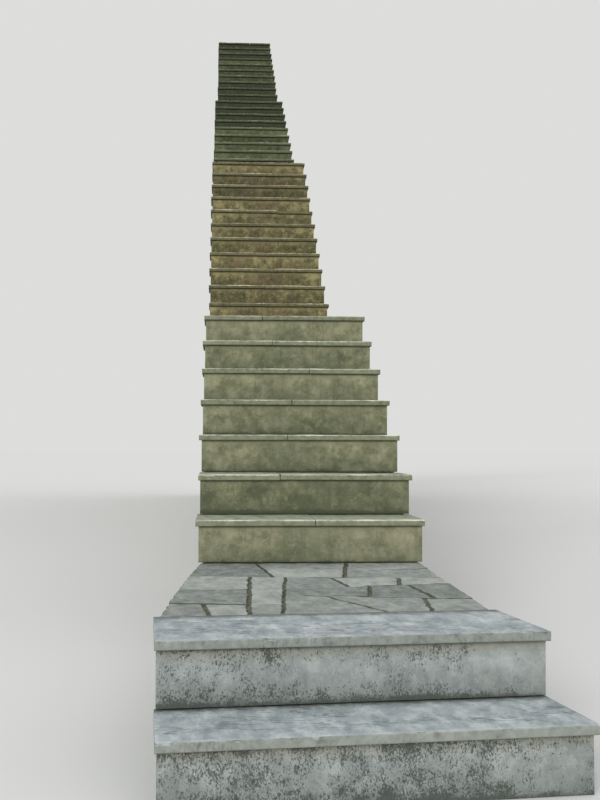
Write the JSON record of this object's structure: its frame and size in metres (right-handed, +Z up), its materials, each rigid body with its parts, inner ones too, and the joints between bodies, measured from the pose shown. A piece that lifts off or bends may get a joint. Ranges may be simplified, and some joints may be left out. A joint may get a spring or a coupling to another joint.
{
  "type": "outdoor stone steps",
  "caption": "Long straight outdoor stone stair in flights with paved landings: overhanging tread slabs on riser slabs over a stepped masonry body.",
  "frame": {"origin": "on the ground, at the centre of the lowest flight's underside", "axes": "+Z up, +Y up the stair, +X to the right of someone who climbs it"},
  "size_m": [1.0743, 17.2965, 6.97],
  "materials": {
    "masonry": "rubble of grey stone in old mortar, streaked, matt",
    "paving": "irregular flat stones, worn, matt",
    "marble_tread": "veined pale marble, weathered, satin",
    "limestone_tread": "weathered limestone, matt",
    "ochre_tread": "limestone stained ochre, matt",
    "olive_tread": "limestone stained olive, matt",
    "grey_riser": "grey stone with dark lichen specks, matt",
    "beige_riser": "beige stone with damp stains, matt",
    "ochre_riser": "stone stained ochre, matt",
    "olive_riser": "stone stained olive, matt"
  },
  "bodies": {
    "root": {"flight_1_core": "masonry", "flight_2_core": "masonry", "flight_3_core": "masonry", "flight_4_core": "masonry", "flight_5_core": "masonry", "landing_1_core": "masonry", "landing_2_core": "masonry", "landing_3_core": "masonry", "top_landing_core": "masonry", "landing_1_paving": "paving", "landing_2_paving": "paving", "landing_3_paving": "paving", "top_landing_paving": "paving", "flight_1_risers": "grey_riser", "flight_2_risers": "beige_riser", "flight_3_risers": "ochre_riser", "flight_4_risers": "olive_riser", "flight_5_risers": "olive_riser", "flight_1_tread_1": "marble_tread", "flight_1_tread_2": "marble_tread", "flight_2_tread_1": "limestone_tread", "flight_2_tread_2": "limestone_tread", "flight_2_tread_3": "limestone_tread", "flight_2_tread_4": "limestone_tread", "flight_2_tread_5": "limestone_tread", "flight_2_tread_6": "limestone_tread", "flight_2_tread_7": "limestone_tread", "flight_3_tread_1": "ochre_tread", "flight_3_tread_2": "ochre_tread", "flight_3_tread_3": "ochre_tread", "flight_3_tread_4": "ochre_tread", "flight_3_tread_5": "ochre_tread", "flight_3_tread_6": "ochre_tread", "flight_3_tread_7": "ochre_tread", "flight_3_tread_8": "ochre_tread", "flight_3_tread_9": "ochre_tread", "flight_3_tread_10": "ochre_tread", "flight_3_tread_11": "ochre_tread", "flight_3_tread_12": "ochre_tread", "flight_4_treads": "olive_tread", "flight_5_treads": "olive_tread"}
  },
  "joints": []
}
